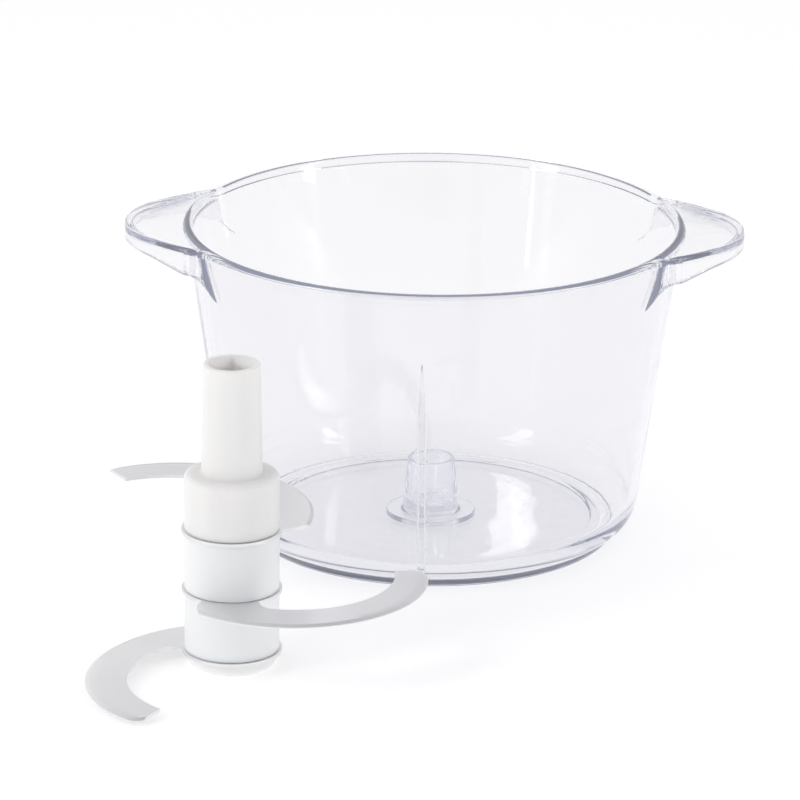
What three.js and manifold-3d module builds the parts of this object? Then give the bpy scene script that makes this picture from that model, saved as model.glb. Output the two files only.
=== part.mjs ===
// Bowl and blade unit of a small food processor, in millimetres, +Z up.
// The bowl is a clear moulding with two ear handles and a centre post. The blade unit stands beside it: a
// keyed drive shaft that carries three sickle blades with spacers between them, on a bearing foot.
// The origin is the middle of the footprint, on the surface that the bowl and the blade unit stand on.
import * as THREE from "three";
import { mergeVertices } from "three/addons/utils/BufferGeometryUtils.js";
import Module from "manifold-3d";

const wasm = await Module();
wasm.setup();

// ---- Driving dimensions ----
const GAP = 0.3; // between two pieces that touch

// Bowl: a drafted wall under a thicker rim band, a round corner, a flat floor and a foot ring.
const BOWL_TURN = -1.5; // degrees about +Z, from the handles lying along X
const RIM_Z = 105;
const RIM_R = 81.8; // outer face of the rim band
const RIM_ROUND = 1.4;
const RIM_BAND = 3.2; // height of the rim band
const MOUTH_R = 79; // inner edge of the mouth
const WALL_TOP_R = 80.9; // outer wall just under the rim band
const WALL = 2.3;
const DRAFT = 0.14; // loss of radius per millimetre going down the wall
const CORNER_R = 10; // outer round between the wall and the foot
const CORNER_Z = 2.8; // lowest point of that round
const FOOT_R = 60.6;
const FOOT_IN_R = 56;
const FOOT_CHAMFER = 0.5;
const FLOOR_Z = 4.5; // upper face of the floor
const FLOOR_UNDER_Z = 2.2;
const FLOOR_STEP_R = 53; // the floor drops by a small step inside this radius
const FLOOR_STEP = 0.6;
const BOWL_SEGMENTS = 72;

// Ear handles: a plate with a skirt round its edge, deeper towards the wall.
const EAR_TOP = RIM_Z - 0.8;
const EAR_TIP_X = 101;
const EAR_TIP_R = 30.5;
const EAR_TIP_ARC = 52; // degrees of the round tip on each side of the handle's axis
const EAR_FLANK = 18; // straight length between the tip and the neck
const EAR_NECK_R = 12; // concave round where a flank meets the bowl
const EAR_NECK_ARC = 20; // degrees of that round before it passes inside the rim
const EAR_PLATE = 2.4;
const EAR_SKIRT = 2.2;
// Depth of the skirt below the handle's top, by distance from the bowl's axis along the handle. The first
// point is where the skirt's ends die into the wall.
const EAR_DEPTHS = [
  [70, 16.7],
  [75.5, 10.3],
  [88, 7.3],
  [95, 5.8],
];

// Stirring rib on the inner wall.
const RIB_X = -2.9;
const RIB_WIDTH = 1.5;
const RIB_PROUD = 2.4;
const RIB_TOP = 80.5;

// Centre post: a hollow tube on a flange.
const POST_FLANGE_R = 14.7;
const POST_FLANGE = 1.4;
const POST_BASE_R = 9.2;
const POST_TOP_R = 7.75;
const POST_TOP_Z = 24;
const POST_BORE_R = 5.8;
const POST_BORE_Z = 8.5;

// Blade unit, measured from its own axis.
const SHAFT_X = -61.5;
const SHAFT_Y = -125.1;
const SHAFT_R = 14.6; // spacers and collar
const CORE_R = 12.7; // keyed core inside the stack
const KEY_FLAT = 12; // half the width across two opposite flats
const KEY_FLATS = 6;
const CORE_BORE_R = 11;
const CORE_BORE_TOP = 41;
const UPPER_BORE_R = 7.4;
const UPPER_BORE_TOP = 61;
const SLEEVE_R = CORE_BORE_R - GAP;
const SLEEVE_BORE_R = 9.6;
const SLEEVE_TOP = 23;
const FOOT_CAP_R = 13.65;
const FOOT_CAP_TOP = 3.75;
const FOOT_CAP_CHAMFER = 1.1;
const COLLAR_TOP = 62;
const COLLAR_ROUND = 1.7;
const TUBE_BASE_R = 9.4;
const TUBE_TOP_R = 8.75;
const TUBE_TOP = 97;
const SOCKET_SIDE = 9.8; // square drive socket, a corner towards each side of the shaft
const SOCKET_FLOOR = 66;
const SHAFT_SEGMENTS = 48;

// Blades: one flat sickle shape, each at its own level, turned by a third of a circle and cut to its own
// length. Its convex and concave edges are two arcs. The arm rises or falls a little outside the ring.
const BLADE_THICK = 1;
const RING_R = 15.45;
const BACK_X = 20.7; // centre of the convex arc
const BACK_R = 41.1;
const BACK_FROM = -156;
const HOLLOW = { x: 22.3, y: 2.3, r: 30.3, to: -131 }; // the concave arc
const TIP_CHAMFER = 5; // degrees of the convex arc taken off at the tip
const TIP_CUT = 2.6; // and the depth of that cut
const TAIL = [
  [-12.85, -8.6],
  [-14.6, -9.8],
]; // from the ring to the tail's end
const NOTCH_CONTROL = [0.6, -17.6];
const NOTCH_END = -71; // degrees round the ring where the notch ends
const BEND_R = 16; // the arm starts to rise here
const BLADES = [
  { name: "lower_blade", z: 4.05, turn: 262, slope: -0.063, tip: -26 },
  { name: "middle_blade", z: 23.8, turn: 22, slope: 0.012, tip: -12 },
  { name: "upper_blade", z: 43.15, turn: 142, slope: 0.042, tip: -18 },
];

// ---- Materials ----
const clear = new THREE.MeshStandardMaterial({
  color: 0xeef0f6,
  roughness: 0.05,
  metalness: 0,
  transparent: true,
  opacity: 0.3,
});
const white = new THREE.MeshStandardMaterial({ color: 0xeeedeb, roughness: 0.45, metalness: 0 });
const cream = new THREE.MeshStandardMaterial({ color: 0xf0ede0, roughness: 0.4, metalness: 0 });
const steel = new THREE.MeshStandardMaterial({ color: 0xc9cbd2, roughness: 0.3, metalness: 1 });

// ---- Helpers ----
const rad = THREE.MathUtils.degToRad;

/** A closed geometry as a solid that can be joined and cut. */
function solidOf(geometry) {
  const bare = geometry.clone();
  bare.deleteAttribute("normal");
  bare.deleteAttribute("uv");
  const merged = mergeVertices(bare, 1e-4);
  return new wasm.Manifold(
    new wasm.Mesh({
      numProp: 3,
      vertProperties: merged.attributes.position.array,
      triVerts: new Uint32Array(merged.index.array),
    }),
  );
}

/** A solid as a geometry that three.js can show. */
function geometryOf(solid) {
  const { vertProperties, triVerts } = solid.getMesh();
  const geometry = new THREE.BufferGeometry();
  geometry.setAttribute("position", new THREE.BufferAttribute(vertProperties, 3));
  geometry.setIndex(new THREE.BufferAttribute(triVerts, 1));
  geometry.computeVertexNormals();
  return geometry;
}

function meshOf(name, geometry, material) {
  const mesh = new THREE.Mesh(geometry, material);
  mesh.name = name;
  return mesh;
}

/** Points of an arc round (x, y), both ends included; angles in degrees. */
function arc(x, y, radius, from, to, steps) {
  return Array.from({ length: steps + 1 }, (_, i) => {
    const angle = rad(from + ((to - from) * i) / steps);
    return [x + radius * Math.cos(angle), y + radius * Math.sin(angle)];
  });
}

/**
 * Turns an anticlockwise outline of [radius, height] points about Z.
 * The outline closes on itself, or starts and ends on the axis.
 */
function turned(outline, segments) {
  const points = outline.map(([r, z]) => new THREE.Vector2(r, z));
  const onAxis = outline[0][0] === 0 && outline.at(-1)[0] === 0;
  if (!onAxis) points.push(points[0].clone());
  return new THREE.LatheGeometry(points, segments).rotateX(Math.PI / 2);
}

/** An outline of [x, y] points as a shape. */
function shapeOf(points) {
  return new THREE.Shape(points.map(([x, y]) => new THREE.Vector2(x, y)));
}

/** A shape drawn in the X-Y plane, extruded from one height to another. */
function prism(shape, bottom, top, curveSegments = 12) {
  const settings = { depth: top - bottom, bevelEnabled: false, curveSegments };
  return new THREE.ExtrudeGeometry(shape, settings).translate(0, 0, bottom);
}

// ---- Bowl ----
const wallR = (z) => WALL_TOP_R - DRAFT * (RIM_Z - RIM_BAND - z); // outer face of the wall
const draftAngle = THREE.MathUtils.radToDeg(Math.atan(DRAFT));

/** Centre radius of a corner round that is tangent to the drafted wall line. */
function cornerCentre(radius, centreZ, inset) {
  return wallR(centreZ) - inset - radius / Math.cos(rad(draftAngle));
}

/** The outer profile from the foot up to the top of the rim. */
function outerOutline() {
  const z = CORNER_Z + CORNER_R;
  const x = cornerCentre(CORNER_R, z, 0);
  const footAngle = -THREE.MathUtils.radToDeg(Math.acos((FOOT_R + 0.3 - x) / CORNER_R));
  return [
    [FOOT_R - FOOT_CHAMFER, 0],
    [FOOT_R, FOOT_CHAMFER],
    ...arc(x, z, CORNER_R, footAngle, -draftAngle, 7),
    [WALL_TOP_R, RIM_Z - RIM_BAND],
    [RIM_R, RIM_Z - RIM_BAND + 0.4],
    ...arc(RIM_R - RIM_ROUND, RIM_Z - RIM_ROUND, RIM_ROUND, 0, 90, 4),
  ];
}

/** The inner profile from the mouth down to the floor's step. */
function innerOutline() {
  const radius = CORNER_R + 1;
  const z = FLOOR_Z + FLOOR_STEP + radius;
  const x = cornerCentre(radius, z, WALL);
  return [
    [MOUTH_R, RIM_Z],
    ...arc(x, z, radius, -draftAngle, -90, 7),
    [FLOOR_STEP_R + 0.5, FLOOR_Z + FLOOR_STEP],
    [FLOOR_STEP_R, FLOOR_Z],
  ];
}

/** The space inside the bowl as a solid, reaching above the rim. */
function interior() {
  const outline = innerOutline().reverse();
  return solidOf(turned([[0, FLOOR_Z], ...outline, [MOUTH_R, RIM_Z + 5], [0, RIM_Z + 5]], BOWL_SEGMENTS));
}

/** The outside of the bowl as a solid, without its handles. */
function envelope() {
  return solidOf(turned([[0, 0], ...outerOutline(), [0, RIM_Z]], BOWL_SEGMENTS));
}

/** Outline of one handle from above, drawn inside the real edge by the inset. */
function earPlan(inset) {
  const tipR = EAR_TIP_R - inset;
  const tip = arc(EAR_TIP_X - EAR_TIP_R, 0, tipR, 0, EAR_TIP_ARC, 7);
  // The flank runs to the concave round, whose centre lies outside the bowl and the handle.
  const neckR = EAR_NECK_R + inset;
  const slant = rad(EAR_TIP_ARC);
  const [flankX, flankY] = tip.at(-1);
  const neckX = flankX - EAR_FLANK * Math.sin(slant) + neckR * Math.cos(slant);
  const neckY = flankY + EAR_FLANK * Math.cos(slant) + neckR * Math.sin(slant);
  const neckFrom = 180 + EAR_TIP_ARC;
  const neck = arc(neckX, neckY, neckR, neckFrom, neckFrom - EAR_NECK_ARC, 4);
  const upper = [...tip, ...neck, [WALL_TOP_R - 20, neck.at(-1)[1] + 6]];
  const lower = upper.slice(1).reverse().map(([x, y]) => [x, -y]);
  return shapeOf([...lower, ...upper]);
}

/** The slanting underside of a handle, seen from the side, as a solid to keep. */
function earSide() {
  const underside = EAR_DEPTHS.map(([x, depth]) => [x, EAR_TOP - depth]);
  const near = WALL_TOP_R - 25;
  const far = EAR_TIP_X + 5;
  const side = shapeOf([
    [near, EAR_TOP + 1],
    [near, underside[0][1]],
    ...underside,
    [far, underside.at(-1)[1]],
    [far, EAR_TOP + 1],
  ]);
  return solidOf(prism(side, -60, 60).rotateX(Math.PI / 2));
}

/** One handle on the +X side: a plate with a skirt below its edge, open underneath. */
function ear() {
  const lowest = EAR_TOP - EAR_DEPTHS[0][1];
  const body = solidOf(prism(earPlan(0), lowest - 4, EAR_TOP)).intersect(earSide());
  const pocket = solidOf(prism(earPlan(EAR_SKIRT), lowest - 8, EAR_TOP - EAR_PLATE));
  return body.subtract(pocket);
}

/** A thin upright on the front of the inner wall, from the floor to a round tip. */
function rib() {
  const tipR = RIB_PROUD;
  const innerR = (z) => wallR(z) - WALL;
  const top = RIB_TOP - tipR;
  const side = shapeOf([
    [innerR(FLOOR_Z) - CORNER_R - RIB_PROUD, FLOOR_Z - 1],
    [innerR(0) + 1, FLOOR_Z - 1],
    [innerR(RIB_TOP) + 1, RIB_TOP],
    ...arc(innerR(top), top, tipR, 90, 180, 5),
    [innerR(CORNER_R * 1.6) - RIB_PROUD, CORNER_R * 1.6],
    [innerR(FLOOR_Z) - CORNER_R * 0.6 - RIB_PROUD, FLOOR_Z + 3],
  ]);
  const plate = new THREE.ExtrudeGeometry(side, { depth: RIB_WIDTH, bevelEnabled: false });
  plate.translate(0, 0, -RIB_WIDTH / 2).rotateX(Math.PI / 2).rotateZ(-Math.PI / 2);
  return solidOf(plate.translate(RIB_X, 0, 0)).intersect(envelope());
}

function bowlShell() {
  const under = [
    [0, -1],
    [FOOT_IN_R, -1],
    [FOOT_IN_R, FLOOR_UNDER_Z],
    [0, FLOOR_UNDER_Z],
  ];
  const recess = solidOf(turned(under, BOWL_SEGMENTS));
  const right = ear();
  const left = right.rotate([0, 0, 180]);
  const shell = envelope().add(right).add(left).subtract(interior()).subtract(recess);
  return meshOf("bowl_shell", geometryOf(shell.add(rib())), clear);
}

/** The hollow post on its flange, which the blade unit turns on in use. */
function centrePost() {
  const base = FLOOR_Z + GAP;
  const flange = base + POST_FLANGE;
  const outline = [
    [0, base],
    [POST_FLANGE_R, base],
    [POST_FLANGE_R, flange],
    [POST_BASE_R + 0.8, flange],
    [POST_BASE_R, flange + 1],
    [POST_TOP_R, POST_TOP_Z - 0.4],
    [POST_TOP_R - 0.4, POST_TOP_Z],
    [POST_BORE_R, POST_TOP_Z],
    [POST_BORE_R - 0.2, POST_BORE_Z + 1],
    [POST_BORE_R - 1.4, POST_BORE_Z],
    [0, POST_BORE_Z],
  ];
  return meshOf("centre_post", turned(outline, 36), clear);
}

// ---- Blade unit ----
/** A circle with equally spaced flats, the section that keys the blades to the core. */
function keyedCircle(radius, flat) {
  const half = THREE.MathUtils.radToDeg(Math.acos(flat / radius));
  const pitch = 360 / KEY_FLATS;
  const rounds = Array.from({ length: KEY_FLATS }, (_, i) =>
    arc(0, 0, radius, i * pitch + half, (i + 1) * pitch - half, 4),
  );
  return rounds.flat();
}

/** The sickle from above: ring, tail, convex edge, tip and concave edge, with the keyed hole in the ring. */
function bladeShape(tip) {
  const shape = new THREE.Shape();
  const [ringEnd, tailEnd] = TAIL;
  const tipFrom = tip - TIP_CHAMFER;
  shape.moveTo(...ringEnd);
  shape.lineTo(...tailEnd);
  shape.absarc(BACK_X, 0, BACK_R, rad(BACK_FROM), rad(tipFrom), false);
  shape.lineTo(...arc(BACK_X, 0, BACK_R - TIP_CUT, tip, tip, 1)[0]);
  shape.absarc(HOLLOW.x, HOLLOW.y, HOLLOW.r, rad(tipFrom), rad(HOLLOW.to), true);
  const [endX, endY] = arc(0, 0, RING_R, NOTCH_END, NOTCH_END, 1)[0];
  shape.quadraticCurveTo(...NOTCH_CONTROL, endX, endY);
  shape.absarc(0, 0, RING_R, rad(NOTCH_END), Math.PI + Math.atan2(-ringEnd[1], -ringEnd[0]), false);
  shape.holes.push(new THREE.Path(shapeOf(keyedCircle(CORE_R + GAP, KEY_FLAT + GAP)).getPoints()));
  return shape;
}

/** Raises the arm of a flat blade in proportion to its distance outside the ring. */
function bend(geometry, slope) {
  const position = geometry.attributes.position;
  for (let i = 0; i < position.count; i++) {
    const reach = Math.hypot(position.getX(i), position.getY(i)) - BEND_R;
    position.setZ(i, position.getZ(i) + slope * Math.max(0, reach));
  }
  return geometry;
}

function blade({ name, z, turn, slope, tip }) {
  const geometry = bend(prism(bladeShape(tip), 0, BLADE_THICK, 14), slope);
  const mesh = meshOf(name, geometry, steel);
  mesh.position.z = z;
  mesh.rotation.z = rad(turn);
  return mesh;
}

/** The ring of plastic between two blades. */
function spacer(name, below, above) {
  const bottom = below.z + BLADE_THICK + GAP;
  const top = above.z - GAP;
  const bore = CORE_R + GAP;
  const outline = [
    [bore, bottom],
    [SHAFT_R - 0.3, bottom],
    [SHAFT_R, bottom + 0.3],
    [SHAFT_R, top - 0.3],
    [SHAFT_R - 0.3, top],
    [bore, top],
  ];
  return meshOf(name, turned(outline, SHAFT_SEGMENTS), white);
}

/** Core, collar and drive tube in one: bored from below for the bearing sleeve, socketed from above. */
function driveShaft(topBlade) {
  const collarBottom = topBlade.z + BLADE_THICK + GAP;
  const roundR = SHAFT_R - COLLAR_ROUND;
  const bore = [
    [0, UPPER_BORE_TOP],
    [UPPER_BORE_R, UPPER_BORE_TOP],
    [UPPER_BORE_R, CORE_BORE_TOP + 3],
    [CORE_BORE_R, CORE_BORE_TOP],
    [CORE_BORE_R, FOOT_CAP_TOP - 5],
    [0, FOOT_CAP_TOP - 5],
  ].reverse();
  const upper = turned(
    [
      [0, collarBottom],
      [SHAFT_R, collarBottom],
      ...arc(roundR, COLLAR_TOP - COLLAR_ROUND, COLLAR_ROUND, 0, 90, 4),
      [TUBE_BASE_R + 0.5, COLLAR_TOP],
      [TUBE_BASE_R, COLLAR_TOP + 0.6],
      ...arc(TUBE_TOP_R - 0.5, TUBE_TOP - 0.5, 0.5, 0, 90, 2),
      [0, TUBE_TOP],
    ],
    SHAFT_SEGMENTS,
  );
  const section = shapeOf(keyedCircle(CORE_R, KEY_FLAT));
  const core = prism(section, FOOT_CAP_TOP + GAP, collarBottom + 2).rotateZ(rad(topBlade.turn));
  const socket = new THREE.BoxGeometry(SOCKET_SIDE, SOCKET_SIDE, TUBE_TOP - SOCKET_FLOOR + 5);
  socket.translate(0, 0, (TUBE_TOP + 5 + SOCKET_FLOOR) / 2).rotateZ(Math.PI / 4);
  const shaft = solidOf(upper)
    .add(solidOf(core))
    .subtract(solidOf(turned(bore, SHAFT_SEGMENTS)))
    .subtract(solidOf(socket));
  return meshOf("drive_shaft", geometryOf(shaft), white);
}

/** Flange that the unit stands on, and the sleeve that turns on the bowl's post. */
function bearingFoot() {
  const outline = [
    [SLEEVE_BORE_R, 0],
    [FOOT_CAP_R - FOOT_CAP_CHAMFER, 0],
    [FOOT_CAP_R, FOOT_CAP_CHAMFER],
    [FOOT_CAP_R, FOOT_CAP_TOP],
    [SLEEVE_R, FOOT_CAP_TOP],
    [SLEEVE_R, SLEEVE_TOP],
    [SLEEVE_BORE_R, SLEEVE_TOP],
  ];
  return meshOf("bearing_foot", turned(outline, SHAFT_SEGMENTS), cream);
}

// ---- Assembly ----
const bowl = new THREE.Group();
bowl.add(bowlShell(), centrePost());
bowl.rotation.z = rad(BOWL_TURN);

const bladeUnit = new THREE.Group();
bladeUnit.position.set(SHAFT_X, SHAFT_Y, 0);
const [lowest, middle, highest] = BLADES;
bladeUnit.add(
  bearingFoot(),
  ...BLADES.map(blade),
  spacer("lower_spacer", lowest, middle),
  spacer("upper_spacer", middle, highest),
  driveShaft(highest),
);

const assembly = new THREE.Group();
assembly.add(bowl, bladeUnit);
assembly.updateMatrixWorld(true);
const footprint = new THREE.Box3().setFromObject(assembly, true).getCenter(new THREE.Vector3());
assembly.position.set(-footprint.x, -footprint.y, 0);

export default assembly;
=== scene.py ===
"""Looks of a clear food processor bowl and its blade unit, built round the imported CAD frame."""

import math

import bpy
import numpy as np
from mathutils import Matrix, Vector


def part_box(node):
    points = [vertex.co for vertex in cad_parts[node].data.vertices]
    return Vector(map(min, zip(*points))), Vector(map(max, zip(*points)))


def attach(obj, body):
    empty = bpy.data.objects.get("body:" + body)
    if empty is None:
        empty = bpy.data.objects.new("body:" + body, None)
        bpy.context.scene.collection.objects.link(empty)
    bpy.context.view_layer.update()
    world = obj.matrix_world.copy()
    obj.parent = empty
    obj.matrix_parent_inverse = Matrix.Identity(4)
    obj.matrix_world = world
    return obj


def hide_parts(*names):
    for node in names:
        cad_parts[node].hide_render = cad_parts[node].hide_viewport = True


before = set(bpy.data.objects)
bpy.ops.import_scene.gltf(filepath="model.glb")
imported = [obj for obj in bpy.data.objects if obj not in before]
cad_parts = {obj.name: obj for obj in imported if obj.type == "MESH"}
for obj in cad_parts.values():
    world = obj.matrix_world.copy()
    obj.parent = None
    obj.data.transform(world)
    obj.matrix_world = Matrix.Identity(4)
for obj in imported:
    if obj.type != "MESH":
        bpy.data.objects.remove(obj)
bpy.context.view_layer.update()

MM = 0.001
FULL_TURN = 2 * math.pi
SHARP_ANGLE = 34.0  # degrees between faces above which an edge is shaded sharp

# ---- Places, from the frame ----


def centre_of(node):
    """The middle of a CAD node's box, seen from above, in millimetres."""
    low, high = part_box(node)
    return np.array([(low[0] + high[0]) / 2, (low[1] + high[1]) / 2]) / MM


BOWL = centre_of("centre_post")
SHAFT = centre_of("bearing_foot")
RIM_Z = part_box("bowl_shell")[1][2] / MM
GAP = 0.3  # the CAD pieces keep this from each other
VISIBLE_GAP = 0.08  # what shows of it where two pieces really touch

# ---- Bowl, in millimetres: heights from the ground, radii from its own axis ----
BOWL_TURN = -1.5  # degrees
RIM_R = 81.8
RIM_ROUND = 1.4
RIM_BAND = 3.2
BAND_LOW = RIM_Z - RIM_BAND
MOUTH_R = 79.0
MOUTH_ROUND = 0.9
WALL_TOP_R = 80.9
WALL = 2.3
DRAFT = 0.14  # growth of the radius for each millimetre of height
SLOPE = math.atan(DRAFT)
CORNER_R = 10.0
CORNER_Z = 2.8
FOOT_R = 60.6
FOOT_IN_R = 56.0
FLOOR_Z = 4.5
FLOOR_UNDER_Z = 0.25
FLOOR_STEP_R = 53.0
FLOOR_STEP = 0.6
WALL_LOW_Z = 80.0  # the wall is plain below this, whatever hangs from the rim

# Sections as (distance out, height): the floor's step, the foot ring's outer face, and its inner face, with
# the height as a share of the underside's.
STEP_SECTION = ((-0.25, 0.04), (0.05, 0.2), (0.25, 0.42), (0.6, 0.56), (1.0, FLOOR_STEP))
FOOT_SECTION = ((0.55, 3.1), (0.25, 2.7), (0.1, 2.2), (0, 1.0), (-0.02, 0.3), (-0.09, 0.09), (-0.3, 0))
FOOT_IN_SECTION = ((0.8, 0), (0.3, 0.08), (0.05, 0.25), (0, 0.55), (-0.05, 0.8), (-0.3, 0.95), (-0.8, 1))

EAR_TOP = RIM_Z - 0.8
EAR_TIP_X = 101.0
EAR_TIP_R = 30.5
EAR_TIP_ARC = 52.0  # degrees
EAR_FLANK = 18.0
EAR_NECK_R = 12.0
EAR_NECK_ARC = 20.0  # degrees
EAR_PLATE = 2.4
EAR_ROUND = 0.9
EAR_SKIRT = 2.4
SKIRT_ROUND = 0.45
EAR_END = 30.5  # degrees from the handle's axis at which the skirt has sunk into the wall
POCKET_END = 24.8  # and at which the pocket behind it has closed
# Height of the skirt's lower edge, and radius of its face near its end, by degrees from the handle's axis.
SKIRT_ANGLE = [0, 8, 11, 14, 18.4, 20.6, 22.6, 24.5, 26, 28, 30, 31.5]
SKIRT_LOW = [98.4, 98.4, 98.2, 97.6, 96.1, 95.2, 94.5, 93.4, 91.6, 89.2, 87.3, 87.0]
SKIRT_END_ANGLE = [22, 24, 26, 28, 30]
SKIRT_END_R = [84.6, 82.5, 80.9, 79.8, 79.0]

RIB_ANGLE = -91.3
RIB_WIDTH = 2.0
RIB_R = 68.0  # radius at which its width is taken
RIB_HALF = math.degrees(RIB_WIDTH / 2 / RIB_R)
RIB_PROUD = 2.4
RIB_TOP = 80.5
RIB_TAPER = 16.0

# Columns round the bowl, in degrees, and beside the rib's middle, in halves of its width.
COLUMN_STEP = 1.0
HANDLE_STEP = 0.4
HANDLE_SPAN = 36
RIB_FROM, RIB_TO = 266, 272
RIB_COLUMNS = (0.4, 0.8, 1, 1.1, 1.25, 1.4, 2, 3)

POST_FLANGE_R = 14.7
POST_FLANGE = 1.4
POST_BASE_R = 9.2
POST_TOP_R = 7.75
POST_TOP_Z = 24.0
POST_BORE_R = 6.4
POST_BORE_Z = 8.5

# ---- Blade unit, in millimetres from its own axis ----
SHAFT_R = 14.6
CORE_R = 12.7
KEY_FLAT = 12.0
KEY_FLATS = 6
CORE_BORE_R = 11.0
CORE_BORE_TOP = 41.0
UPPER_BORE_R = 7.4
UPPER_BORE_TOP = 61.0
SLEEVE_BORE_R = 9.6
SLEEVE_TOP = 23.0
FOOT_CAP_R = 13.65
FOOT_CAP_TOP = 3.75
FOOT_CHAMFER = 1.1
COLLAR_TOP = 62.0
COLLAR_ROUND = 1.7
TUBE_BASE_R = 9.4
TUBE_TOP_R = 8.75
TUBE_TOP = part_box("drive_shaft")[1][2] / MM
SOCKET_SIDE = 9.8
SOCKET_FLOOR = 66.0
SOCKET_CORNER = SOCKET_SIDE / math.sqrt(2)
SOCKET_POWER = 22.0  # the higher, the sharper the corners of the square
# Depth below the top, share of the way from round to square, and distance outside the corner.
SOCKET_MOUTH = ((0.12, 0, 0.22), (0.45, 0, 0), (0.9, 0.35, 0), (1.7, 0.8, 0), (2.6, 1, 0), (3.4, 1, 0))

BLADE_THICK = 1.0
RING_R = 15.45
RING_STEP = 2.0  # degrees between the ring's columns
TAIL_AT, NOTCH_AT = 214.0, 282.0  # degrees round the ring between which the arm joins it
NOTCH_BEND = (1.7, -18.4)  # the point that the notch between the ring and the concave arc bends towards
BACK_X, BACK_R = 20.7, 41.1  # the convex arc
BACK_ANGLES = (-156.0, -121.0, -112.0)  # degrees on it beside the tail, the notch's start and the notch's end
HOLLOW_X, HOLLOW_Y, HOLLOW_R = 22.3, 2.3, 30.3  # the concave arc
HOLLOW_FROM = -128.0
TIP_CHAMFER = 5.0  # degrees
BEND_R = 16.0  # radius from which an arm rises or falls
GRIND = 1.3  # width of the ground bevel along the convex edge
EDGE = 0.35  # thickness left at the sharpened edge
EDGE_ROUND = 0.07
EDGE_ANGLE = 28.0  # degrees between faces above which an edge is rounded
UNGROUND = 99.0  # distance from the sharpened edge that is noted for the ring, which has none
# Height, turn in degrees, rise of the arm for each millimetre outwards, angle of the tip on the convex arc,
# and how far the tip's corner is cut.
BLADES = {
    "lower_blade": (4.05, 262.0, -0.063, -26.0, 2.6),
    "middle_blade": (23.8, 22.0, 0.012, -12.0, 2.6),
    "upper_blade": (43.15, 142.0, 0.052, -16.0, 0.5),
}

# ---- Mesh helpers ----


def new_object(name, vertices, faces):
    """A smooth-shaded object from points in millimetres and arrays of faces.

    The faces are turned round if the volume that they enclose comes out negative.
    """
    mesh = bpy.data.meshes.new(name)
    points = np.asarray(vertices, float) * MM
    corner = [np.asarray(f) for f in faces]
    volume = sum(
        np.einsum("ij,ij->i", points[f[:, 0]], np.cross(points[f[:, i]], points[f[:, i + 1]])).sum()
        for f in corner
        for i in range(1, f.shape[1] - 1)
    )
    if volume < 0:
        corner = [f[:, ::-1] for f in corner]
    mesh.from_pydata(points.tolist(), [], [row for f in corner for row in f.tolist()])
    mesh.polygons.foreach_set("use_smooth", np.ones(len(mesh.polygons), bool))
    mesh.update()
    made = bpy.data.objects.new(name, mesh)
    bpy.context.scene.collection.objects.link(made)
    return made


def swept(name, radius, height, angle, centre, closed=False):
    """A surface carried round an axis: row i and column j give the point at radius, height and angle [i, j].

    Rows join row to row and columns join round the axis. A closed section also joins its last row to its
    first; an open one starts and ends in a single point on the axis.
    """
    columns = np.shape(angle)[-1]
    shape = (len(radius), columns)
    radius, height, angle = (np.broadcast_to(part, shape) for part in (radius, height, angle))
    x = centre[0] + radius * np.cos(angle)
    y = centre[1] + radius * np.sin(angle)
    body = np.stack([x, y, height], 2)
    rows = len(body)
    if not closed:
        body, ends = body[1:-1], body[[0, -1], 0]
        ends[:, :2] = centre
        rows -= 2
    vertices = body.reshape(-1, 3)
    i = np.arange(rows if closed else rows - 1)[:, None]
    j = np.arange(columns)[None]
    here, there = i * columns, (i + 1) % rows * columns
    beside = (j + 1) % columns
    quads = np.stack([here + j, here + beside, there + beside, there + j], 2).reshape(-1, 4)
    faces = [quads]
    if not closed:
        first, last = len(vertices), len(vertices) + 1
        vertices = np.concatenate([vertices, ends])
        ring = np.arange(columns)
        beyond = (ring + 1) % columns
        top = (rows - 1) * columns
        faces.append(np.stack([np.full(columns, first), beyond, ring], 1))
        faces.append(np.stack([np.full(columns, last), top + ring, top + beyond], 1))
    made = new_object(name, vertices, faces)
    made.data.set_sharp_from_angle(angle=math.radians(SHARP_ANGLE))
    return made


def rounded(corners, closed=False, steps=5):
    """A section with its corners rounded: each is (radius out, height, round), and the round becomes an arc.

    The arc runs between the points where a circle of that radius touches both sides, with one more point just
    outside each end, so that smooth shading stays inside the round.
    """
    points = np.array([c[:2] for c in corners], float)
    count = len(points)
    out = []
    for k, corner in enumerate(corners):
        size = corner[2] if len(corner) > 2 else 0
        if size == 0 or (not closed and k in (0, count - 1)):
            out.append(points[k][None])
            continue
        back, ahead = points[k - 1] - points[k], points[(k + 1) % count] - points[k]
        back, ahead = back / np.hypot(*back), ahead / np.hypot(*ahead)
        half = math.acos(np.clip(back @ ahead, -1, 1)) / 2
        middle = (back + ahead) / np.hypot(*(back + ahead))
        hub = points[k] + middle * size / math.sin(half)
        touch = size / math.tan(half)
        start, end = points[k] + back * touch - hub, points[k] + ahead * touch - hub
        span = math.atan2(start[0] * end[1] - start[1] * end[0], start @ end)
        turn = span * np.linspace(0, 1, steps + 1)
        cos, sin = np.cos(turn), np.sin(turn)
        arc = np.stack([start[0] * cos - start[1] * sin, start[0] * sin + start[1] * cos], 1)
        lead = touch + min(0.25 * size, 0.15)
        out += [(points[k] + back * lead)[None], arc + hub, (points[k] + ahead * lead)[None]]
    return np.concatenate(out)


def turned(name, corners, centre, segments=144, closed=False):
    """A round piece: the rounded section carried once round the axis."""
    section = rounded(corners, closed)
    angle = np.arange(segments) * FULL_TURN / segments
    return swept(name, section[:, :1], section[:, 1:], angle, centre, closed)


def stacked(rows, columns):
    """Rows whose parts are numbers or arrays, as one array for each part, with every row as wide."""
    return [np.stack([np.broadcast_to(value, columns) for value in part]) for part in zip(*rows)]


def eased(t):
    """Rises smoothly from 0 to 1 with t, level at both ends."""
    t = np.clip(t, 0, 1)
    return t * t * (3 - 2 * t)


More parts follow.
